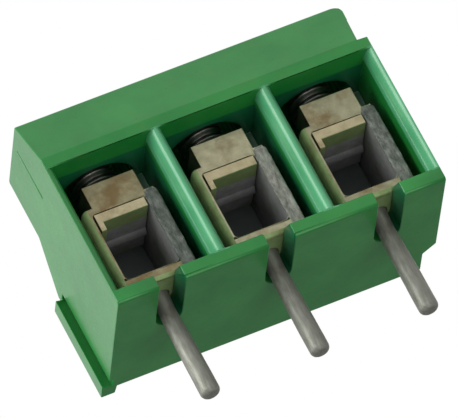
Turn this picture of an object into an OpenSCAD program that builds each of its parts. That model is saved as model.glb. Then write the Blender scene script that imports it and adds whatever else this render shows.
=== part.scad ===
// Three-pole screw terminal block for a printed circuit board.
// X runs along the row of poles, the wire entries face -Y and Z points up.
// The origin is on the board's surface, on the axis of the middle solder pin.

/* [Housing] */
// Distance between two neighbouring poles
pitch = 5.0; // [4.9:0.02:5.5]
// Height of the housing above the board
body_height = 9.9; // [9.8:0.1:11.5]
// Height at which the sloped front face starts
front_height = 7.5; // [7.3:0.1:8.2]
// How far the sloped front face leans back
slope_run = 1.1; // [0.8:0.1:1.4]
// Depth of the housing at its top
upper_depth = 5.5; // [5.3:0.1:6.3]
// Depth of the housing at its foot
lower_depth = 7.1; // [6.6:0.1:8.0]
// Height of the foot's upright back face
flare_bottom = 4.85; // [4.0:0.05:5.5]
// Height at which the back has narrowed to the upper depth
flare_top = 6.95; // [6.5:0.05:8.0]
// Radius on the long outer edges
edge_radius = 0.15; // [0.05:0.05:0.3]

/* [Wire chambers] */
// Thickness of the walls between two chambers; an end wall is half as thick
divider_t = 0.7; // [0.5:0.05:0.9]
// Thickness of the floor under the clamps
floor_t = 1.0; // [0.9:0.05:1.2]
// Height of the floor's front lip
lip_height = 0.64; // [0.5:0.02:0.8]
// Length of the ramp that rises from the lip to the floor
ramp_run = 0.9; // [0.5:0.05:1.0]
// Height of the lintel over the wire entries
lintel_height = 0.5; // [0.4:0.05:0.7]
// Thickness of the back wall behind the chambers
rear_wall_t = 0.5; // [0.4:0.05:0.7]
// Length of the two ledges that hold the clamp down
ledge_length = 1.6; // [1.5:0.1:2.1]

/* [Screw wells] */
// Diameter of the wells that the screws are reached through
well_d = 3.5; // [3.2:0.1:3.6]
// Width of the bevel round the mouth of a well
well_bevel = 0.12; // [0.05:0.01:0.2]

/* [Clamp bodies] */
// How far the clamp stands back from the front of the housing
clamp_recess = 1.2; // [1.0:0.05:1.3]
// Thickness of the clamp's left wall
clamp_left_t = 0.4; // [0.35:0.01:0.5]
// Thickness of the clamp's right wall
clamp_right_t = 0.64; // [0.5:0.02:0.66]
// Thickness of the clamp's base
clamp_base_t = 0.5; // [0.4:0.05:0.6]
// Height of the window that takes the wire
window_height = 3.35; // [3.3:0.05:3.5]
// Thickness of the clamp's shoulders
shoulder_t = 0.3; // [0.25:0.05:0.5]
// Width of the threaded boss on the clamp
boss_width = 2.4; // [2.3:0.05:2.6]
// Height of the boss above the shoulders
boss_rise = 1.05; // [0.9:0.05:1.2]
// Radius inside the corners of the window
window_radius = 0.2; // [0.1:0.05:0.3]
// Radius on the outer corners of the clamp
clamp_radius = 0.25; // [0.1:0.05:0.35]

/* [Pressure plates] */
// Thickness of the plate under the screw
plate_t = 0.45; // [0.4:0.05:0.5]
// How far the plate stops short of the clamp's back
plate_rear_setback = 0.5; // [0.3:0.05:0.6]
// Thickness of the plate's guide leg
leg_t = 0.25; // [0.2:0.05:0.35]
// How far the guide leg reaches below the plate
leg_drop = 0.4; // [0.3:0.02:0.5]
// Radius of the rounded ridge that grips the wire
grip_radius = 0.4; // [0.3:0.05:0.5]
// Height of the ridge under the plate
grip_height = 0.16; // [0.1:0.02:0.2]

/* [Screws] */
// Outer diameter of the screw's thread
screw_d = 2.0; // [1.8:0.1:2.0]
// Height of the screw's head
head_height = 1.0; // [0.8:0.05:1.1]
// How far the screw drives the pressure plate down
screw_travel = 2.2; // [1.8:0.1:2.2]
// Width of the slot for the driver
slot_width = 0.6; // [0.5:0.05:0.8]
// Depth of the slot for the driver
slot_depth = 0.55; // [0.4:0.05:0.6]
// Diameter of the nose that turns in the pressure plate
nose_d = 1.2; // [1.0:0.1:1.3]
// Length of the nose
nose_length = 0.26; // [0.2:0.02:0.3]

/* [Solder pins] */
// Diameter of the solder pins below the board's surface
pin_d = 0.9; // [0.8:0.05:0.95]
// Diameter that the pin's shank widens to under its riveted head
shank_d = 1.0; // [1.0:0.05:1.1]
// Length of the pins below the board's surface
pin_length = 4.1; // [3.5:0.1:4.6]
// Distance from the front of the housing to the pin axes
pin_setback = 2.7; // [2.5:0.05:3.0]
// Diameter of the riveted head of a pin inside the clamp
rivet_d = 1.5; // [1.3:0.05:1.6]
// Depth of the riveted head
rivet_depth = 0.25; // [0.2:0.05:0.3]

/* [Interlock] */
// How far the tongue on the left end stands out
tongue_out = 0.3; // [0.2:0.02:0.4]
// How far the tongue stands out behind the foot
tongue_rear = 0.45; // [0.1:0.05:0.5]
// Width of the tongue at its outer face
tongue_width = 0.85; // [0.75:0.05:1.1]
// How much wider the tongue is outside than at its root
tongue_undercut = 0.2; // [0.1:0.05:0.3]
// How far the tongue ends below the top of the foot
tongue_drop = 0.3; // [0.1:0.05:1.0]
// Width of the groove in front of the tongue
undercut_width = 0.3; // [0.2:0.05:0.4]
// Depth of the groove in front of the tongue
undercut_depth = 0.2; // [0.1:0.05:0.3]
// Length of the lead-in at the mouth of the recess on the right end
recess_lead = 0.5; // [0.2:0.05:0.6]
// How far the sloped front stops short of the right end at its foot
slope_inset = 0.45; // [0.2:0.05:0.6]
// Distance of the end step and of the fine groove from the front
step_setback = 2.3; // [2.0:0.1:2.8]
// Height at which the fine groove on the left end starts
groove_bottom = 6.95; // [6.0:0.05:8.0]
// How far the groove ends below the top
groove_drop = 0.45; // [0.2:0.05:1.0]
// Width and depth of the groove
groove_width = 0.12; // [0.08:0.01:0.2]

/* [Clearances] */
// Gap between a clamp and the chamber's side walls
clamp_side_gap = 0.42; // [0.3:0.02:0.44]
// Gap between a clamp's boss and the ledges beside it
boss_gap = 0.2; // [0.1:0.05:0.3]
// Gap between the clamp's shoulders and the ledges above them
clamp_top_gap = 0.1; // [0.05:0.01:0.15]
// Gap between the clamp and the chamber's back wall
clamp_rear_gap = 0.1; // [0.05:0.01:0.2]
// Gap between a pressure plate and the clamp's side walls
plate_side_gap = 0.06; // [0.05:0.01:0.1]
// Gap between a pressure plate at rest and the boss above it
plate_top_gap = 0.03; // [0.02:0.01:0.06]
// Radial gap between the thread and the boss
thread_gap = 0.05; // [0.03:0.01:0.08]
// Radial gap between the screw's nose and the pressure plate
nose_gap = 0.05; // [0.03:0.01:0.08]
// Gap between the screw's nose and the bottom of its socket
nose_end_gap = 0.02; // [0.01:0.01:0.04]
// Radial gap between the screw's head and its well
head_gap = 0.15; // [0.1:0.01:0.2]
// Gap left between the head and the boss with the clamp shut
head_stop_gap = 0.1; // [0.05:0.01:0.2]
// Gap between a pin's shank and the sides of its slot in the floor
slot_gap = 0.1; // [0.1:0.01:0.2]
// Gap between the recess and the outer face of a neighbour's tongue
tongue_gap = 0.28; // [0.1:0.02:0.3]
// Gap between the recess and the front of a neighbour's tongue
tongue_play = 0.95; // [0.2:0.05:1.0]

/* [Hidden] */
$fn = 64;
cut = 1;
poles = 3;
body_length = poles * pitch;
left_x = -body_length / 2;
front_y = -pin_setback;
back_y = front_y + lower_depth;

// Chamber sizes
opening_top = front_height - lintel_height;
chamber_rear = upper_depth - rear_wall_t;
chamber_half = (pitch - divider_t) / 2;
screw_setback = (slope_run + upper_depth) / 2;

// Clamp body sizes
clamp_half = chamber_half - clamp_side_gap;
clamp_length = chamber_rear - clamp_rear_gap - clamp_recess;
window_half = clamp_half - (clamp_left_t + clamp_right_t) / 2;
window_x = (clamp_left_t - clamp_right_t) / 2;
window_floor = floor_t + clamp_base_t;
window_top = window_floor + window_height;
shoulder_top = window_top + shoulder_t;
boss_top = shoulder_top + boss_rise;
ledge_z = shoulder_top + clamp_top_gap;
thread_bore_r = screw_d / 2 + thread_gap;
shank_top = window_floor - rivet_depth;

// Pressure plate sizes
plate_half = window_half - plate_side_gap;
plate_length = clamp_length - plate_rear_setback;
plate_top = window_top - plate_top_gap;
plate_bottom = plate_top - plate_t;
socket_r = nose_d / 2 + nose_gap;
socket_depth = nose_length + nose_end_gap;

// Tongue sizes, with depths counted from the back of the foot
tongue_front = tongue_rear - tongue_width;
tongue_root = tongue_front + tongue_undercut;
tongue_height = flare_bottom - tongue_drop;

// Screw sizes
head_bottom = boss_top + screw_travel + head_stop_gap;
head_top = head_bottom + head_height;
head_r = well_d / 2 - head_gap;

function pole_x(pole) = left_x + (pole - 0.5) * pitch;

// Moves a pole's pieces to its place, with y counted from the front of the housing.
module at_pole(pole, setback = 0) {
    translate([pole_x(pole), front_y + setback, 0]) children();
}

// Rounds the convex corners of a flat outline.
module rounded(radius) {
    offset(r = radius, $fn = 32) offset(delta = -radius) children();
}

// Extrudes a side view, drawn as distance from the front and height, from x0 to x1.
module along_x(x0, x1) {
    translate([x0, front_y, 0]) rotate([90, 0, 90]) linear_extrude(height = x1 - x0) children();
}

// ---- Housing ----

module side_view() {
    rounded(edge_radius) polygon([
        [0, 0],
        [lower_depth, 0],
        [lower_depth, flare_bottom],
        [upper_depth, flare_top],
        [upper_depth, body_height],
        [slope_run, body_height],
        [0, front_height]
    ]);
}

// Side view of the open front of a wire chamber, with the ramp behind the lip.
module entry_view() {
    polygon([
        [-cut, lip_height],
        [0, lip_height],
        [ramp_run, floor_t],
        [chamber_rear - ledge_length, floor_t],
        [chamber_rear - ledge_length, opening_top],
        [-cut, opening_top]
    ]);
}

// One wire chamber: the open front, the pocket under the ledges and the boss's slot.
module chamber() {
    rotate([90, 0, 90]) linear_extrude(height = 2 * chamber_half, center = true) entry_view();
    translate([-chamber_half, clamp_recess, floor_t])
        cube([2 * chamber_half, chamber_rear - clamp_recess, ledge_z - floor_t]);
    translate([-boss_width / 2 - boss_gap, clamp_recess, floor_t])
        cube([boss_width + 2 * boss_gap, chamber_rear - clamp_recess, opening_top - floor_t]);
}

// The screw well, with a bevelled mouth.
module well() {
    translate([0, screw_setback, ledge_z]) cylinder(d = well_d, h = body_height);
    translate([0, screw_setback, body_height - well_bevel])
        cylinder(d1 = well_d, d2 = well_d + 2 * well_bevel + 2 * cut, h = well_bevel + cut);
}

// The slot in the floor that the solder pin slides in through.
module pin_slot() {
    half = shank_d / 2 + slot_gap;
    translate([-half, -cut, -cut]) cube([2 * half, pin_setback + cut, floor_t + 2 * cut]);
    translate([0, pin_setback, -cut]) cylinder(r = half, h = floor_t + 2 * cut);
}

// Takes the square corner off the front edge of a divider or an end wall, leaving a quarter round.
module front_round(radius) {
    difference() {
        translate([0, -cut]) square([radius, radius + cut]);
        translate([radius, radius]) circle(r = radius);
        translate([-cut, -2 * cut]) square([cut, 2 * cut]);
    }
}

module divider_rounding(x, side, radius) {
    translate([x, front_y, lip_height]) mirror([side < 0 ? 1 : 0, 0, 0])
        linear_extrude(height = opening_top - lip_height) front_round(radius);
}

// The interlocking tongue at the foot of the left end, wider outside than at its root.
module tongue() {
    translate([left_x, back_y, 0]) linear_extrude(height = tongue_height) polygon([
        [divider_t / 2, tongue_root],
        [undercut_depth, tongue_root],
        [-tongue_out, tongue_front],
        [-tongue_out, tongue_rear],
        [divider_t / 2, tongue_rear]
    ]);
}

// The groove that undercuts the front of the tongue.
module tongue_groove() {
    groove_front = tongue_front - undercut_width;
    translate([left_x - cut, back_y + groove_front, -cut])
        cube([cut + undercut_depth, tongue_root - groove_front, tongue_height + cut]);
}

// The recess on the right end that takes a neighbour's tongue.
module tongue_recess() {
    depth = tongue_out + tongue_gap;
    inner_y = tongue_front - tongue_play;
    translate([left_x + body_length, back_y, -cut])
        linear_extrude(height = flare_bottom + cut) polygon([
            [cut, inner_y - recess_lead],
            [0, inner_y - recess_lead],
            [-depth, inner_y],
            [-depth, cut],
            [cut, cut]
        ]);
}

// The wedge that the sloped front stops short by, at the right end.
module slope_end_cut() {
    top = body_height + edge_radius;
    translate([left_x + body_length, front_y + step_setback, 0]) rotate([90, 0, 0])
        linear_extrude(height = step_setback + cut) polygon([
            [-slope_inset, front_height],
            [0, top],
            [slope_inset, top],
            [slope_inset, front_height]
        ]);
}

// The fine upright groove on the left end.
module end_groove() {
    translate([left_x - cut, front_y + step_setback, groove_bottom])
        cube([cut + groove_width, groove_width, body_height - groove_drop - groove_bottom]);
}

module housing() {
    color("seagreen") difference() {
        union() {
            difference() {
                along_x(left_x, left_x + body_length) side_view();
                tongue_groove();
            }
            tongue();
        }
        for (pole = [1:poles]) at_pole(pole) {
            chamber();
            well();
            pin_slot();
        }
        for (edge = [1:poles]) divider_rounding(left_x + edge * pitch - divider_t / 2, 1, divider_t / 2);
        for (edge = [0:poles - 1]) divider_rounding(left_x + edge * pitch + divider_t / 2, -1, divider_t / 2);
        tongue_recess();
        slope_end_cut();
        end_groove();
    }
}

// ---- Clamp bodies ----

// A rectangle centred on x = 0 that stands on the given height, with rounded corners.
module round_rectangle(half_width, bottom, height, radius) {
    translate([-half_width + radius, bottom]) square([2 * (half_width - radius), height]);
    translate([-half_width, bottom + radius]) square([2 * half_width, height - 2 * radius]);
    for (x = [-1, 1] * (half_width - radius), y = [bottom + radius, bottom + height - radius])
        translate([x, y]) circle(r = radius);
}

// Front view of a clamp body: a frame with shoulders, a thicker right wall and a narrower boss on top.
module clamp_view() {
    difference() {
        union() {
            round_rectangle(clamp_half, floor_t, shoulder_top - floor_t, clamp_radius);
            translate([-boss_width / 2, window_top]) square([boss_width, boss_top - window_top]);
        }
        translate([window_x, 0])
            round_rectangle(window_half, window_floor, window_height, window_radius);
    }
}

module clamp_body(pole) {
    color("darkkhaki") difference() {
        at_pole(pole, clamp_recess + clamp_length) rotate([90, 0, 0])
            linear_extrude(height = clamp_length) clamp_view();
        at_pole(pole, screw_setback) translate([0, 0, window_top - window_radius])
            cylinder(r = thread_bore_r, h = boss_top - window_top + cut);
        at_pole(pole, pin_setback) pin_shank();
        at_pole(pole, pin_setback) pin_rivet(cut);
    }
}

// ---- Solder pins ----

// The shank, which widens from the board's surface up to the riveted head.
module pin_shank() {
    cylinder(d1 = pin_d, d2 = shank_d, h = shank_top);
}

// The countersunk rivet head, running on above its top by a given amount.
module pin_rivet(run_on) {
    translate([0, 0, shank_top]) cylinder(d1 = shank_d, d2 = rivet_d, h = rivet_depth);
    if (run_on > 0) translate([0, 0, window_floor]) cylinder(d = rivet_d, h = run_on);
}

module solder_pin(pole) {
    tip = pin_d / 4;
    color("silver") at_pole(pole, pin_setback) {
        translate([0, 0, -pin_length]) cylinder(d1 = pin_d / 2, d2 = pin_d, h = tip);
        translate([0, 0, tip - pin_length]) cylinder(d = pin_d, h = pin_length - tip);
        pin_shank();
        pin_rivet(0);
    }
}

// ---- Pressure plates ----

// Front view of a pressure plate: a flat plate with one guide leg.
module plate_view() {
    translate([-plate_half, plate_bottom]) square([2 * plate_half, plate_t]);
    translate([-plate_half, plate_bottom - leg_drop]) square([leg_t, leg_drop + plate_t]);
}

// The rounded ridge across the underside of a pressure plate.
module plate_grip() {
    translate([leg_t - plate_half, 0, plate_bottom]) rotate([90, 0, 90])
        linear_extrude(height = 2 * plate_half - leg_t) intersection() {
            translate([0, grip_radius - grip_height]) circle(r = grip_radius);
            translate([-grip_radius, -grip_height]) square([2 * grip_radius, 2 * grip_height]);
        }
}

module pressure_plate(pole) {
    color("gray") difference() {
        union() {
            at_pole(pole, clamp_recess + plate_length) translate([window_x, 0, 0]) rotate([90, 0, 0])
                linear_extrude(height = plate_length) plate_view();
            at_pole(pole, screw_setback) translate([window_x, 0, 0]) plate_grip();
        }
        at_pole(pole, screw_setback) translate([0, 0, plate_top - socket_depth])
            cylinder(r = socket_r, h = socket_depth + cut);
    }
}

// ---- Screws ----

module clamp_screw(pole) {
    thread_bottom = plate_top + nose_end_gap;
    point = 0.15;
    color("lightgray") at_pole(pole, screw_setback) difference() {
        union() {
            translate([0, 0, thread_bottom - nose_length]) cylinder(d = nose_d, h = nose_length + point);
            translate([0, 0, thread_bottom]) cylinder(d1 = screw_d - 2 * point, d2 = screw_d, h = point);
            translate([0, 0, thread_bottom + point])
                cylinder(d = screw_d, h = head_bottom - thread_bottom - point);
            translate([0, 0, head_bottom]) cylinder(r = head_r, h = head_height - point);
            translate([0, 0, head_top - point]) cylinder(r1 = head_r, r2 = head_r - point, h = point);
        }
        translate([-head_r - cut, -slot_width / 2, head_top - slot_depth])
            cube([2 * (head_r + cut), slot_width, slot_depth + cut]);
    }
}

housing();
clamp_body(1);  // clamp_body_1
clamp_body(2);  // clamp_body_2
clamp_body(3);  // clamp_body_3
solder_pin(1);  // solder_pin_1
solder_pin(2);  // solder_pin_2
solder_pin(3);  // solder_pin_3
pressure_plate(1);  // pressure_plate_1
pressure_plate(2);  // pressure_plate_2
pressure_plate(3);  // pressure_plate_3
clamp_screw(1);  // clamp_screw_1
clamp_screw(2);  // clamp_screw_2
clamp_screw(3);  // clamp_screw_3
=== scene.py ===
"""The looks of the three-pole screw terminal block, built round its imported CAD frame.

Sizes are written in millimetres, and multiplied by MM where Blender wants metres.
"""

import bmesh
import bpy
import math
from mathutils import Matrix, Vector, noise as field


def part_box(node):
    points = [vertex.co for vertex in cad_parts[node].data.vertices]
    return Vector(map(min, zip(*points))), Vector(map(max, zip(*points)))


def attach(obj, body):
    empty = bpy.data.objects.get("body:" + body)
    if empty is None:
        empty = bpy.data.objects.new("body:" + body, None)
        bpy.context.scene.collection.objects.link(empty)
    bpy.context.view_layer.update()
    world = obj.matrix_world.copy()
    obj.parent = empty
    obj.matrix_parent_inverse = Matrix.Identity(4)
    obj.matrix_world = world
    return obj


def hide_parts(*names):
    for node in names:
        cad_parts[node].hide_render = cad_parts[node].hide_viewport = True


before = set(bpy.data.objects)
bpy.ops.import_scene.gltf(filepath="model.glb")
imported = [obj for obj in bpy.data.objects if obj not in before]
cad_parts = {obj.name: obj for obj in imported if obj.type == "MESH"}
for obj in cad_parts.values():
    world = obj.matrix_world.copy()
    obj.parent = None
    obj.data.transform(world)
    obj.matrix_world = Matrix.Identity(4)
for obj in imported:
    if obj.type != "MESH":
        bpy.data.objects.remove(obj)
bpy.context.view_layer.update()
scene = bpy.context.scene
MM = 0.001
POLES = (1, 2, 3)

# Sizes in millimetres
THREAD_PITCH = 0.4
THREAD_DEPTH = 0.17
DIVIDER = 0.7  # thickness of the walls between the wire entries
NOSE_DEPTH = 0.9  # how far back a divider's elliptic front reaches
TOP_END_ROUND = 0.5  # radius of the corner between the top and the right end
EDGE_ROUND = 0.045
PLATE_EDGE_ROUND = 0.03
HAIR = 0.001  # a margin that only keeps a limit's own faces out
JOINED = 0.0005  # vertices closer than this are one

FRONT_SLOPE = 0.46  # run of the sloped front for each millimetre that it rises
LEAST_FACE = 0.05  # mm2; edges of smaller faces aren't rounded
FLAT_WITHIN = 0.5  # degrees between faces that are made one
ROUNDED_ABOVE = 28  # degrees that an edge turns by
SMOOTH_BELOW = 50  # degrees
CUT_SNAP = 1e-7  # metres; nearer vertices count as lying on a cut
FINE_SNAP = 1e-8
NO_STRETCH = (1, 1, 1)

# Material slots of the housing and of the clamps; the housing's CHAMBER and REAR take painted shade
# and NOSE a painted sheen
BODY, CHAMBER, REAR, NOSE = range(4)
# The clamps' WINDOW takes painted shade, ROLL painted shade and green reflection, and SIDE painted
# light
CAGE, SHEARED, WINDOW, ROLL, SIDE = range(5)


# ---- Node helpers ----

def new_material(name):
    """A node material with its Principled shader, and that shader's node tree."""
    material = bpy.data.materials.new(name)
    material.use_nodes = True
    tree = material.node_tree
    return material, tree, tree.nodes["Principled BSDF"]


def put(tree, kind, inputs=None, **settings):
    """A new node with its settings and input values; an input may be a socket to link from."""
    node = tree.nodes.new(kind)
    for key, value in settings.items():
        setattr(node, key, value)
    for key, value in (inputs or {}).items():
        if isinstance(value, bpy.types.NodeSocket):
            tree.links.new(value, node.inputs[key])
        else:
            node.inputs[key].default_value = value
    return node


def mm_coords(tree, stretch=NO_STRETCH, shift=0.0):
    """The piece's own coordinates in millimetres, stretched per axis and shifted along all."""
    where = put(tree, "ShaderNodeTexCoord").outputs["Object"]
    scale = tuple(share / MM for share in stretch)
    inputs = {"Vector": where, "Scale": scale, "Location": (shift, shift, shift)}
    return put(tree, "ShaderNodeMapping", inputs).outputs["Vector"]


def noise(tree, coords, scale, detail=4.0, roughness=0.55):
    """Cloudy noise from 0 to 1, with a scale in features per millimetre."""
    inputs = {"Vector": coords, "Scale": scale, "Detail": detail, "Roughness": roughness}
    return put(tree, "ShaderNodeTexNoise", inputs).outputs["Fac"]


def maths(tree, operation, a, b):
    """The result of one sum on two numbers or sockets."""
    return put(tree, "ShaderNodeMath", {0: a, 1: b}, operation=operation).outputs[0]


def ramp(tree, factor, stops):
    """A colour ramp through (place, grey or colour) stops."""
    node = put(tree, "ShaderNodeValToRGB", {"Fac": factor})
    points = node.color_ramp.elements
    while len(points) < len(stops):
        points.new(0.5)
    for point, (place, value) in zip(points, stops):
        point.position = place
        grey = isinstance(value, (int, float))
        point.color = (value, value, value, 1) if grey else (*value, 1)
    return node.outputs["Color"]


def mixed(tree, factor, a, b):
    """Colours a and b mixed by a factor."""
    node = put(tree, "ShaderNodeMix", data_type="RGBA")
    for key, value in ((0, factor), (6, a), (7, b)):
        if isinstance(value, bpy.types.NodeSocket):
            tree.links.new(value, node.inputs[key])
        else:
            node.inputs[key].default_value = value if key == 0 else (*value, 1)
    return node.outputs[2]


def bump(tree, height, distance_mm, under=None):
    """A normal bumped by a height, on top of another bump where one is given."""
    inputs = {"Height": height, "Distance": distance_mm * MM}
    if under:
        inputs["Normal"] = under
    return put(tree, "ShaderNodeBump", inputs).outputs["Normal"]


def edge_mask(tree, radius_mm):
    """One along the edges, where the normal turns within a radius, and zero on open faces."""
    turned, flat = 0.8, 0.96  # cosines of the turn
    inputs = {"Radius": radius_mm * MM}
    bevelled = put(tree, "ShaderNodeBevel", inputs, samples=4).outputs["Normal"]
    own = put(tree, "ShaderNodeNewGeometry").outputs["Normal"]
    turn = put(tree, "ShaderNodeVectorMath", {0: bevelled, 1: own}, operation="DOT_PRODUCT")
    return ramp(tree, turn.outputs["Value"], [(turned, 1.0), (flat, 0.0)])


def linear(red, green, blue):
    """An sRGB colour, 0 to 255, as linear numbers, by the formula of the sRGB standard."""
    def channel(value):
        """One channel from 0 to 255 as a linear number from 0 to 1."""
        share = value / 255
        return share / 12.92 if share <= 0.04045 else ((share + 0.055) / 1.055) ** 2.4
    return tuple(channel(value) for value in (red, green, blue))


# ---- Materials ----

def plastic(name, low, high, dull, worn):
    """Moulded plastic in four sRGB colours: cloudy, with faint flow lines along the row, a fine
    grain and paler worn edges."""
    cloud_scale, patch_scale, flow_scale, grain_scale = 0.45, 1.3, 1.6, 9.0
    ripple_scale, ripple_mm, pit_scale, pit_mm = 0.8, 0.012, 7.0, 0.0008
    edge_mm, edge_share = 0.05, 0.35
    low, high, dull, worn = (linear(*colour) for colour in (low, high, dull, worn))
    material, tree, shader = new_material(name)
    coords = mm_coords(tree)
    cloud = ramp(tree, noise(tree, coords, cloud_scale, 3), [(0.35, 0.0), (0.7, 1.0)])
    colour = mixed(tree, cloud, low, high)
    patches = ramp(tree, noise(tree, coords, patch_scale, 5, 0.6), [(0.52, 0.0), (0.72, 0.3)])
    colour = mixed(tree, patches, colour, dull)
    flow = noise(tree, mm_coords(tree, (0.12, 1.5, 1.5)), flow_scale, 4)
    colour = mixed(tree, ramp(tree, flow, [(0.45, 0.0), (0.75, 0.25)]), colour, low)
    pale = maths(tree, "MULTIPLY", edge_mask(tree, edge_mm), edge_share)
    colour = mixed(tree, pale, colour, worn)
    tree.links.new(colour, shader.inputs["Base Color"])
    grain = noise(tree, coords, grain_scale, 6, 0.6)
    roughness = ramp(tree, grain, [(0.3, 0.27), (0.75, 0.36)])
    tree.links.new(roughness, shader.inputs["Roughness"])
    ripple = bump(tree, noise(tree, coords, ripple_scale, 2), ripple_mm)
    pitted = bump(tree, noise(tree, coords, pit_scale, 1), pit_mm, ripple)
    tree.links.new(pitted, shader.inputs["Normal"])
    shader.inputs["IOR"].default_value = 1.47
    return material


def metal(name, dark, light, rough, scale, depth_mm, stretch=NO_STRETCH, stain=None, stain_from=0.5,
          worn=None, shift=0.0, metallic=1.0):
    """A dull plated metal in sRGB colours, whose colour, roughness and bump vary along its grain.

    It may have stains, where a noise is above stain_from, and bright worn edges, which on the torn
    clamp fronts also stand for a painted highlight.
    """
    stain_scale, edge_mm, edge_share = 0.9, 0.06, 0.7
    material, tree, shader = new_material(name)
    shader.inputs["Metallic"].default_value = metallic
    grain = noise(tree, mm_coords(tree, stretch, shift), scale, 6, 0.65)
    shade = ramp(tree, grain, [(0.3, 0.0), (0.7, 1.0)])
    colour = mixed(tree, shade, linear(*dark), linear(*light))
    if stain:
        spots = noise(tree, mm_coords(tree, shift=shift), stain_scale, 5, 0.6)
        stained = ramp(tree, spots, [(stain_from, 0.0), (stain_from + 0.18, 0.8)])
        colour = mixed(tree, stained, colour, linear(*stain))
    if worn:
        bright = maths(tree, "MULTIPLY", edge_mask(tree, edge_mm), edge_share)
        colour = mixed(tree, bright, colour, linear(*worn))
    tree.links.new(colour, shader.inputs["Base Color"])
    roughness = ramp(tree, grain, [(0.25, rough[1]), (0.8, rough[0])])
    tree.links.new(roughness, shader.inputs["Roughness"])
    tree.links.new(bump(tree, grain, depth_mm), shader.inputs["Normal"])
    return material


def clamp_metal(pole):
    """Each clamp's plating, the left one browner with stains than the other two."""
    dark, light, stain_from = {1: ((124, 118, 92), (152, 146, 116), 0.44),
                               2: ((146, 143, 116), (172, 168, 140), 0.55),
                               3: ((138, 136, 110), (162, 160, 132), 0.53)}[pole]
    return metal(f"clamp_metal_{pole}", dark, light, (0.34, 0.5), 2.0, 0.01,
                 stain=(112, 92, 60), stain_from=stain_from, worn=(196, 188, 156), shift=3.7 * pole)


def sheared_metal(pole):
    """The torn front of each clamp's right wall, brightest in the middle one."""
    dark, light = {1: ((72, 77, 72), (124, 128, 122)),
                   2: ((108, 108, 100), (166, 166, 158)),
                   3: ((80, 85, 80), (136, 140, 132))}[pole]
    # Its pale edge is partly wear and partly a painted highlight along the window's right edge
    return metal(f"sheared_metal_{pole}", dark, light, (0.45, 0.65), 5.0, 0.05,
                 stretch=(1, 1, 0.5), worn=(190, 192, 190), shift=2.3 * pole)


PLASTIC = plastic("housing_plastic", (22, 112, 46), (38, 126, 54), (58, 110, 44), (74, 156, 96))
# Painted shade: a darker green for the walls deep in the chambers and beside the pin slots
CHAMBER_SHADE_PLASTIC = plastic("housing_chamber_painted_shade_plastic", (16, 82, 50), (24, 96, 60), (30, 72, 50),
                       (34, 104, 70))
# Painted shade: a neutral grey for the back walls behind the clamp windows, where shade falls
REAR_SHADE_PLASTIC = plastic("housing_rear_painted_shade_plastic", (100, 110, 106), (116, 124, 120), (92, 98, 92),
                       (90, 110, 96))
# Painted sheen: a paler teal green on the divider fronts
NOSE_SHEEN_PLASTIC = plastic("housing_divider_painted_sheen_plastic", (64, 144, 98), (82, 158, 112), (72, 140, 88),
                       (106, 178, 134))
# Painted shade: a greyer, duller metal inside the clamp windows and on the plate's hidden back
SHADE_METAL = metal("clamp_window_painted_shade_metal", (116, 118, 118), (136, 136, 134), (0.5, 0.65), 2.5, 0.012,
                   stain=(104, 108, 94), metallic=0.3)
# Painted shade and reflection: an olive green for the rolled left edge and the foot, which lie in
# shade and mirror the green housing
ROLL_SHADE_REFLECTION_METAL = metal("rolled_edge_painted_reflection_metal", (122, 148, 94), (144, 166, 112), (0.45, 0.6), 2.0, 0.01,
                     stain=(116, 118, 76), stain_from=0.52, worn=(160, 160, 122), metallic=0.4)
# Painted light: a paler green for the clamp's outer left side, lifting the divider's shade and
# mirroring its green
SIDE_LIGHT_METAL = metal("clamp_side_painted_light_metal", (166, 192, 132), (186, 208, 150), (0.45, 0.6), 2.0, 0.01,
                   stain=(150, 154, 108), stain_from=0.54, worn=(196, 206, 160), metallic=0.2)
PLATE_METAL = metal("plate_metal", (156, 146, 116), (180, 170, 138), (0.3, 0.45), 3.0, 0.008,
                    stain=(124, 106, 70), stain_from=0.56, worn=(205, 194, 162))
# Painted reflection: an olive green for the plate's underside, mirroring the green housing
PLATE_GREEN_REFLECTION_METAL = metal("plate_painted_green_reflection_metal", (104, 124, 76), (128, 144, 96), (0.45, 0.6), 2.0, 0.01,
                        stain=(112, 116, 76), stain_from=0.54, worn=(178, 170, 138), metallic=0.4)
PIN_METAL = metal("pin_metal", (112, 113, 104), (140, 141, 132), (0.5, 0.65), 2.5, 0.02,
                  stretch=(3, 3, 0.5), stain=(96, 92, 78), stain_from=0.54, worn=(150, 150, 140),
                  metallic=0.6)
SCREW_METAL = metal("screw_metal", (130, 130, 126), (166, 166, 160), (0.3, 0.45), 3.0, 0.006,
                    stain=(104, 100, 90), stain_from=0.58, worn=(210, 210, 205))


# ---- Pieces ----

def whole_faces(node):
    """A CAD node's mesh with its split corners joined and its flat faces made whole."""
    shape = bmesh.new()
    shape.from_mesh(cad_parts[node].data)
    bmesh.ops.remove_doubles(shape, verts=shape.verts, dist=JOINED * MM)
    bmesh.ops.dissolve_limit(shape, angle_limit=math.radians(FLAT_WITHIN), verts=shape.verts,
                             edges=shape.edges)
    return shape


def soften(shape, width_mm, where=None):
    """Rounds the edges that turn sharply between large enough faces and pass the test, if any."""
    def is_sharp(edge):
        """Whether the edge turns by enough, and its smaller face can take a rounding."""
        return (edge.is_manifold and edge.calc_face_angle() > math.radians(ROUNDED_ABOVE)
                and min(f.calc_area() for f in edge.link_faces) > LEAST_FACE * MM * MM)

    edges = [edge for edge in shape.edges if is_sharp(edge) and (where is None or where(edge))]
    bmesh.ops.bevel(shape, geom=edges, offset=width_mm * MM, segments=2, profile=0.5,
                    affect="EDGES", clamp_overlap=False)
    bmesh.ops.remove_doubles(shape, verts=shape.verts, dist=JOINED * MM)


def unit(axis):
    """The unit vector along X, Y or Z, numbered from 0."""
    return Vector([1.0 if i == axis else 0.0 for i in range(3)])


def everything(shape):
    """All of a shape's geometry, as its operators want it."""
    return shape.verts[:] + shape.edges[:] + shape.faces[:]


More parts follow.
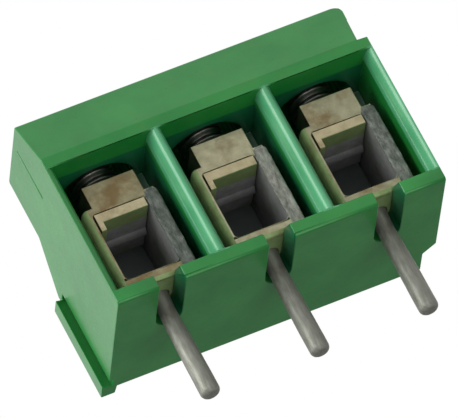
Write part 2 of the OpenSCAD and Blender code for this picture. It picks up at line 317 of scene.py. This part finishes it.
def with_parts(faces):
    """Faces with their corners and edges, each once."""
    corners = dict.fromkeys(v for f in faces for v in f.verts)
    edges = dict.fromkeys(e for f in faces for e in f.edges)
    return [*corners, *edges, *faces]


def cut_across(shape, axis, places):
    """Cuts the whole shape along planes across an axis, without taking anything away."""
    normal = unit(axis)
    for place in places:
        bmesh.ops.bisect_plane(shape, geom=everything(shape), plane_co=normal * place,
                               plane_no=normal, dist=CUT_SNAP)


def finish_piece(shape, name, node, body, slot, *materials, origin=Vector((0, 0, 0))):
    """Makes a piece from a shape drawn from an origin, kept inside its CAD node's box.

    It stands for that node, moves with the body and takes the materials given; the slot is not
    used.
    """
    low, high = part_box(node)
    for vert in shape.verts:
        for i in range(3):
            vert.co[i] = min(max(vert.co[i], low[i] - origin[i]), high[i] - origin[i])
    shape.normal_update()
    for face in shape.faces:
        face.smooth = True
    for edge in shape.edges:
        edge.smooth = not edge.is_manifold or edge.calc_face_angle() < math.radians(SMOOTH_BELOW)
    mesh = bpy.data.meshes.new(name)
    shape.to_mesh(mesh)
    shape.free()
    for material in materials:
        mesh.materials.append(material)
    piece = bpy.data.objects.new(name, mesh)
    piece.location = origin
    scene.collection.objects.link(piece)
    shading = piece.modifiers.new("even_shading", "WEIGHTED_NORMAL")
    shading.keep_sharp = True
    shading.weight = 90
    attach(piece, body)
    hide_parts(node)
    return piece


def divider_places(pitch):
    """The middles of the walls on either side of each wire entry, from left to right."""
    return [(k - len(POLES) / 2) * pitch for k in range(len(POLES) + 1)]


def round_dividers(shape, low, pitch):
    """Makes the dividers' round fronts finer and draws them out to an ellipse that runs down onto
    the ramp. The left end wall keeps its circle."""
    radius = DIVIDER / 2 * MM
    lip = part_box("clamp_body_1")[0][2] - 0.36 * MM
    lip_reach, ramp_rise = 0.37 * MM, 0.4
    angles = [math.radians(6 * i) for i in range(-14, 15)]

    def on_front(face, centre):
        """Whether the face is part of the round front at a divider's middle."""
        middle = face.calc_center_median()
        return (abs(middle.x - centre) < radius
                and low[1] + HAIR * MM < middle.y < low[1] + radius
                and face.normal.y < -0.05 and abs(face.normal.z) < 0.1)

    for k, centre in enumerate(divider_places(pitch)):
        depth = NOSE_DEPTH * MM if k else radius
        for angle in angles:
            faces = [face for face in shape.faces if on_front(face, centre)]
            bmesh.ops.bisect_plane(shape, geom=with_parts(faces), dist=FINE_SNAP,
                                   plane_co=(centre + radius * math.sin(angle), 0, 0),
                                   plane_no=(1, 0, 0))
        for vert in {v for face in shape.faces if on_front(face, centre) for v in face.verts}:
            across = min(abs(vert.co.x - centre), radius)
            back = depth * (1 - math.sqrt(1 - (across / radius) ** 2))
            vert.co.y = low[1] + back
            if vert.co.z < lip + lip_reach:
                vert.co.z = max(vert.co.z, lip + ramp_rise * back)
    shape.normal_update()


def round_top_end(shape, high):
    """Rounds the corner between the top and the right end.

    Cuts at the tangents of equal angles turn the square corner into wedges, whose points are then
    pulled in to the circle. In front they slide down the slope's own plane.
    """
    radius = TOP_END_ROUND * MM
    centre_x, centre_z = high[0] - radius, high[2] - radius
    clear = 0.01 * MM
    slope_ends = -0.5 * MM
    steps = [math.tan(math.radians(7.5 * i)) for i in range(7)]
    for axis, corner in ((0, centre_x), (2, centre_z)):
        normal = unit(axis)
        for step in steps:
            faces = [f for f in shape.faces if max(v.co.z for v in f.verts) > centre_z + clear
                     and max(v.co.x for v in f.verts) > centre_x + clear]
            bmesh.ops.bisect_plane(shape, geom=with_parts(faces), dist=CUT_SNAP,
                                   plane_co=normal * (corner + radius * step), plane_no=normal)
    for vert in shape.verts:
        u, v = (vert.co.x - centre_x) / radius, (vert.co.z - centre_z) / radius
        if u > 0.001 and v > 0.001:
            scale = max(u, v) / math.hypot(u, v)
            fall = (scale - 1) * v * radius
            vert.co.x += (scale - 1) * u * radius
            vert.co.z += fall
            if vert.co.y < slope_ends:
                vert.co.y += FRONT_SLOPE * fall
    shape.normal_update()


def make_housing():
    """The moulding, with rounded edges; the walls deep in the chambers and beside the pin slots get
    painted shade, the back walls a painted neutral shade and the divider fronts a painted sheen.
    """
    low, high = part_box("housing")
    clamp_low, clamp_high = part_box("clamp_body_1")
    last_clamp_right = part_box("clamp_body_3")[1][0]
    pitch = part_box("clamp_body_2")[0][0] - clamp_low[0]
    shape = whole_faces("housing")
    round_dividers(shape, low, pitch)
    round_top_end(shape, high)
    soften(shape, EDGE_ROUND)
    front, clamp_front = low[1], clamp_low[1]
    cut_across(shape, 1, [clamp_front])

    pins = [sum(corner[0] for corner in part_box(f"solder_pin_{pole}")) / 2 for pole in POLES]
    noses = divider_places(pitch)[1:]
    left, right = clamp_low[0] - 0.6 * MM, last_clamp_right + 0.6 * MM
    foot, top = clamp_low[2] - 0.1 * MM, clamp_high[2] + 0.9 * MM
    chamber_back = front + 5.05 * MM
    rear_top = clamp_low[2] + 5 * MM
    nose_back, nose_half = front + (NOSE_DEPTH + 0.02) * MM, (DIVIDER / 2 + 0.01) * MM
    nose_foot, nose_top = foot - 0.3 * MM, top + 0.8 * MM
    slot_top, slot_half = foot + 0.12 * MM, 0.9 * MM

    def plastic_slot(face):
        """A face's material slot, from where it lies and which way it looks."""
        middle, normal = face.calc_center_median(), face.normal
        # Divider fronts: painted sheen
        if (front + HAIR * MM < middle.y < nose_back and nose_foot < middle.z < nose_top
                and abs(normal.z) < 0.5 and left - 1 * MM < middle.x
                and min(abs(middle.x - x) for x in noses) < nose_half):
            return NOSE
        # Inside the chambers: painted shade, with a painted neutral shade on the back walls
        if (clamp_front < middle.y <= chamber_back and foot < middle.z < top
                and left < middle.x < right):
            if normal.y < -0.9 and middle.z < rear_top:
                return REAR
            return BODY if normal.x < -0.9 and middle.x > last_clamp_right else CHAMBER
        # The pin slots' side walls: painted shade
        beside_pin = min(abs(middle.x - x) for x in pins) < slot_half
        return CHAMBER if abs(normal.x) > 0.8 and middle.z < slot_top and beside_pin else BODY

    for face in shape.faces:
        face.material_index = plastic_slot(face)
    finish_piece(shape, "housing_moulding", "housing", "terminal", "housing_plastic",
                 PLASTIC, CHAMBER_SHADE_PLASTIC, REAR_SHADE_PLASTIC, NOSE_SHEEN_PLASTIC)


def make_clamp(pole):
    """The clamp body: its left front edge is rolled over, and its right wall's front is torn by
    shearing."""
    node = f"clamp_body_{pole}"
    low, high = (Vector(corner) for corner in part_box(node))
    shape = whole_faces(node)
    soften(shape, EDGE_ROUND)
    roll, drop = 0.36 * MM, 0.3 * MM
    under_roll = 0.6 * roll
    wall = high.x - 0.6 * MM
    shoulder = low.z + 4.1 * MM
    steps = [0.015, 0.06, 0.14, 0.26, 0.42, 0.62, 0.85]  # closest where the roll turns most
    cut_across(shape, 0, [low.x + roll * step for step in steps])
    cut_across(shape, 2, [low.z + under_roll * step for step in steps])
    cut_across(shape, 0, [wall + i * 0.1 * MM for i in range(6)])
    cut_across(shape, 2, [low.z + (0.45 + i * 0.12) * MM for i in range(32)])

    front = low.y + 0.05 * MM
    torn_mean, torn_swing, torn_scale = 0.045, 0.05, 3.1
    for vert in shape.verts:
        if vert.co.y > front:
            continue
        left = max(0.0, 1 - (vert.co.x - low.x) / roll)
        under = max(0.0, 1 - (vert.co.z - low.z) / under_roll)
        turn = min(1.0, math.hypot(left, 0.8 * under))
        back = drop * (1 - math.sqrt(1 - turn * turn))
        if vert.co.x > wall - 0.01 * MM and vert.co.z < shoulder:
            back += (torn_mean + torn_swing * field.noise(vert.co / MM * torn_scale)) * MM
        vert.co.y += back

    window_left, window_right = low.x + 0.36 * MM, wall + 0.05 * MM
    window_foot, window_top = low.z + 0.48 * MM, low.z + 4.0 * MM
    window_front, window_back = low.y + 0.12 * MM, high.y - 0.05 * MM
    torn_left, torn_back = wall - 0.08 * MM, low.y + 0.15 * MM
    roll_right, roll_top, side = low.x + 0.28 * MM, low.z + 0.2 * MM, low.x + 0.05 * MM

    def metal_slot(face):
        """A face's material slot, from where it lies and which way it looks."""
        middle = face.calc_center_median()
        # Inside the window: painted shade
        if (window_left < middle.x < window_right and window_foot < middle.z < window_top
                and window_front < middle.y < window_back):
            return WINDOW
        if middle.y < torn_back and middle.x > torn_left and middle.z < shoulder:
            return SHEARED
        # The outer left side: painted light
        if face.normal.x < -0.7 and middle.x < side:
            return SIDE
        # The rolled edge and the foot: painted shade and green reflection
        return ROLL if middle.x < roll_right or middle.z < roll_top else CAGE

    for face in shape.faces:
        face.material_index = metal_slot(face)
    finish_piece(shape, f"clamp_cage_{pole}", node, "terminal", "clamp_metal",
                 clamp_metal(pole), sheared_metal(pole), SHADE_METAL, ROLL_SHADE_REFLECTION_METAL, SIDE_LIGHT_METAL)


def make_plate(pole):
    """The pressure plate: bright in front and above; its hidden sides carry a painted green
    reflection in front and painted shade behind.
    """
    bright, reflected_green, dark = range(3)
    node = f"pressure_plate_{pole}"
    shape = whole_faces(node)
    soften(shape, PLATE_EDGE_ROUND)
    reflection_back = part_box(node)[0][1] + 0.9 * MM
    cut_across(shape, 1, [reflection_back])
    for face in shape.faces:
        # Hidden sides: a painted green reflection in front, painted shade behind
        hidden = face.normal.z < -0.3 or face.normal.x > 0.5
        worn = reflected_green if face.calc_center_median().y < reflection_back else dark
        face.material_index = worn if hidden else bright
    finish_piece(shape, f"clamp_plate_{pole}", node, f"plate_{pole}", "plate_metal",
                 PLATE_METAL, PLATE_GREEN_REFLECTION_METAL, SHADE_METAL)


def lathe(shape, rings, columns, radius_at):
    """Adds a turned surface through (height, radius) rings in mm, closed at both ends.

    The function radius_at gives the true radius from a height, an angle and the ring's radius.
    """
    rows = []
    for z, radius in rings:
        row = []
        for i in range(columns):
            angle = math.tau * i / columns
            r = radius_at(z, angle, radius)
            row.append(shape.verts.new(Vector((r * math.cos(angle), r * math.sin(angle), z)) * MM))
        rows.append(row)
    for lower, upper in zip(rows, rows[1:]):
        for i in range(columns):
            j = (i + 1) % columns
            shape.faces.new((lower[i], lower[j], upper[j], upper[i]))
    shape.faces.new(list(reversed(rows[0])))
    shape.faces.new(rows[-1])


def box_and_axis(node):
    """A CAD node's box in mm, and the foot of its upright axis in metres."""
    low, high = (Vector(corner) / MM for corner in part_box(node))
    return low, high, Vector(((low.x + high.x) / 2, (low.y + high.y) / 2, 0)) * MM


def make_pin(pole):
    """The drawn wire pin: a blunt round tip, faint draw marks, a widening shank and a rivet."""
    node = f"solder_pin_{pole}"
    low, high, axis = box_and_axis(node)
    wire, waist, shank, rivet, flat = 0.44, 0.38, 0.5, 0.75, 0.2  # radii
    sunk, tip_length, neck_step = 0.25, 0.24, 0.125
    tip_rings, wire_rings, neck_rings, columns = 6, 40, 10, 32
    tip = [(low.z + tip_length * (1 - math.cos(a)), flat + (wire - flat) * math.sin(a))
           for a in (math.pi / 2 * i / tip_rings for i in range(tip_rings + 1))]
    step = -tip[-1][0] / wire_rings
    free = [(-step * (wire_rings - i), wire - (wire - waist) * (i / wire_rings) ** 2)
            for i in range(1, wire_rings)]
    neck = [(i * neck_step, waist + (shank - waist) * (i / neck_rings) ** 2)
            for i in range(neck_rings + 1)]
    head = [(high.z - sunk * 0.5, (shank + rivet) / 2 - 0.01), (high.z - 0.03, rivet - 0.05),
            (high.z, rivet - 0.09)]

    def worn(z, angle, radius):
        """The radius with broad and fine draw marks, different on each pin."""
        def marks(around, along, shift):
            """Marks whose scale differs round the wire and along it."""
            return abs(field.noise(Vector((math.cos(angle) * around, math.sin(angle) * around,
                                           z * along + shift * pole))))

        broad, fine = marks(1.6, 0.7, 9), marks(4, 2.2, 5)
        return radius - 0.012 * broad - 0.01 * fine

    shape = bmesh.new()
    lathe(shape, tip + free + neck + head, columns, worn)
    finish_piece(shape, f"pin_wire_{pole}", node, "terminal", "pin_metal", PIN_METAL, origin=axis)


def make_screw(pole):
    """The slotted screw: the CAD's head with softened edges over a right-hand thread and a nose."""
    node = f"clamp_screw_{pole}"
    low, high, axis = box_and_axis(node)
    outer, nose, rim = 1.0, 0.6, (high.x - low.x) / 2  # radii
    nose_chamfer, rim_chamfer, nose_length, head_height = 0.05, 0.06, 0.26, 1.0
    root, start = high.z - head_height, low.z + nose_length
    ring_step, columns, slack = 0.04, 48, 0.001
    steepness, crest, start_share, lead_in, run_out = 2.6, 0.15, 0.86, 0.15, 0.3

    shape = whole_faces(node)
    bmesh.ops.bisect_plane(shape, geom=everything(shape), dist=CUT_SNAP, clear_inner=True,
                           plane_co=(0, 0, (root + rim_chamfer) * MM), plane_no=(0, 0, 1))
    soften(shape, EDGE_ROUND, where=lambda e: min(v.co.z for v in e.verts) > (root + 0.1) * MM)
    bmesh.ops.translate(shape, verts=shape.verts, vec=-axis)
    rings = [(low.z, nose - nose_chamfer), (low.z + nose_chamfer, nose), (start, nose)]
    count = int((root - start) / ring_step)
    rings += [(start + slack + i * (root - start - 2 * slack) / count, outer)
              for i in range(count + 1)]
    rings += [(root, rim - rim_chamfer), (root + rim_chamfer, rim)]

    def threaded(z, angle, radius):
        """The radius along the thread, which starts and ends gently; other rings stay as given."""
        if radius != outer:
            return radius
        phase = (z / THREAD_PITCH - angle / math.tau) % 1.0
        flank = min(1.0, max(0.0, steepness * abs(phase - 0.5) - crest))
        lead = min(1.0, (z - start) / lead_in)
        fade = min(1.0, (root - z) / run_out)
        return (outer - THREAD_DEPTH * flank * fade) * (start_share + (1 - start_share) * lead)

    lathe(shape, rings, columns, threaded)
    finish_piece(shape, f"slotted_screw_{pole}", node, f"screw_{pole}", "screw_metal", SCREW_METAL,
                 origin=axis)


make_housing()
for pole in POLES:
    make_clamp(pole)
    make_plate(pole)
    make_pin(pole)
    make_screw(pole)


# ---- Floor, light and camera ----

def make_floor():
    """A wide floor far below the part, brighter to the camera than in the light it throws back."""
    half_size, depth, thrown, seen_as = 6.0, 1.0, 0.4, 0.8
    grid = bmesh.new()
    bmesh.ops.create_grid(grid, x_segments=1, y_segments=1, size=half_size)
    mesh = bpy.data.meshes.new("floor")
    grid.to_mesh(mesh)
    grid.free()
    floor = bpy.data.objects.new("floor", mesh)
    scene.collection.objects.link(floor)
    floor.location = (0, 0, -depth)
    material, tree, shader = new_material("floor_paint")
    seen = put(tree, "ShaderNodeLightPath").outputs["Is Camera Ray"]
    tree.links.new(mixed(tree, seen, (thrown,) * 3, (seen_as,) * 3), shader.inputs["Base Color"])
    shader.inputs["Roughness"].default_value = 0.9
    mesh.materials.append(material)


def make_world():
    """White to the camera and in reflections, and a plain soft fill on the surfaces."""
    fill, white = 0.64, 1.0
    world = bpy.data.worlds.new("studio")
    scene.world = world
    world.use_nodes = True
    tree = world.node_tree
    path = put(tree, "ShaderNodeLightPath").outputs
    seen = maths(tree, "MAXIMUM", path["Is Camera Ray"], path["Is Glossy Ray"])
    seen = maths(tree, "MAXIMUM", seen, path["Is Transmission Ray"])
    level = put(tree, "ShaderNodeMapRange", {"Value": seen, "To Min": fill, "To Max": white})
    tree.links.new(level.outputs[0], tree.nodes["Background"].inputs["Strength"])
    tree.nodes["Background"].inputs["Color"].default_value = (1, 1, 1, 1)


def make_lamp(name, direction, distance, size, watts):
    """A square white lamp, unseen by the camera, that shines on the origin; sizes are in metres."""
    lamp = bpy.data.lights.new(name, "AREA")
    lamp.size = size
    lamp.energy = watts
    holder = bpy.data.objects.new(name, lamp)
    scene.collection.objects.link(holder)
    towards = Vector(direction).normalized()
    holder.location = towards * distance
    holder.rotation_euler = towards.to_track_quat("Z", "Y").to_euler()
    holder.visible_camera = False


def make_camera():
    """The photo's own view from below, as fitted to the block's edges."""
    azimuth, elevation, roll = (math.radians(a) for a in (-17.63, -25.84, -28.71))
    looked_at, shift_right, shift_up = (0, 0.8, 4.0), 0.26, 0.062  # mm
    distance, lens, sensor = 0.5, 949, 36  # metres, and mm for the lens and sensor
    back = Vector((math.sin(azimuth) * math.cos(elevation),
                   -math.cos(azimuth) * math.cos(elevation), math.sin(elevation)))
    level_right = Vector((0, 0, 1)).cross(back).normalized()
    level_up = back.cross(level_right)
    right = level_right * math.cos(roll) + level_up * math.sin(roll)
    up = back.cross(right)
    target = Vector(looked_at) * MM - right * shift_right * MM - up * shift_up * MM
    data = bpy.data.cameras.new("camera")
    data.lens = lens
    data.sensor_width = sensor
    data.clip_start, data.clip_end = 0.01, 10
    camera = bpy.data.objects.new("camera", data)
    scene.collection.objects.link(camera)
    turned = Matrix((right, up, back)).transposed().to_4x4()
    camera.matrix_world = Matrix.Translation(target + back * distance) @ turned
    scene.camera = camera


make_floor()
make_world()
make_lamp("key", (-0.88, -0.34, 0.33), distance=0.35, size=0.26, watts=1.35)
make_lamp("fill_below", (0.0, -0.6, -0.8), distance=0.4, size=0.3, watts=0.66)
make_camera()
scene.view_settings.view_transform = "Standard"
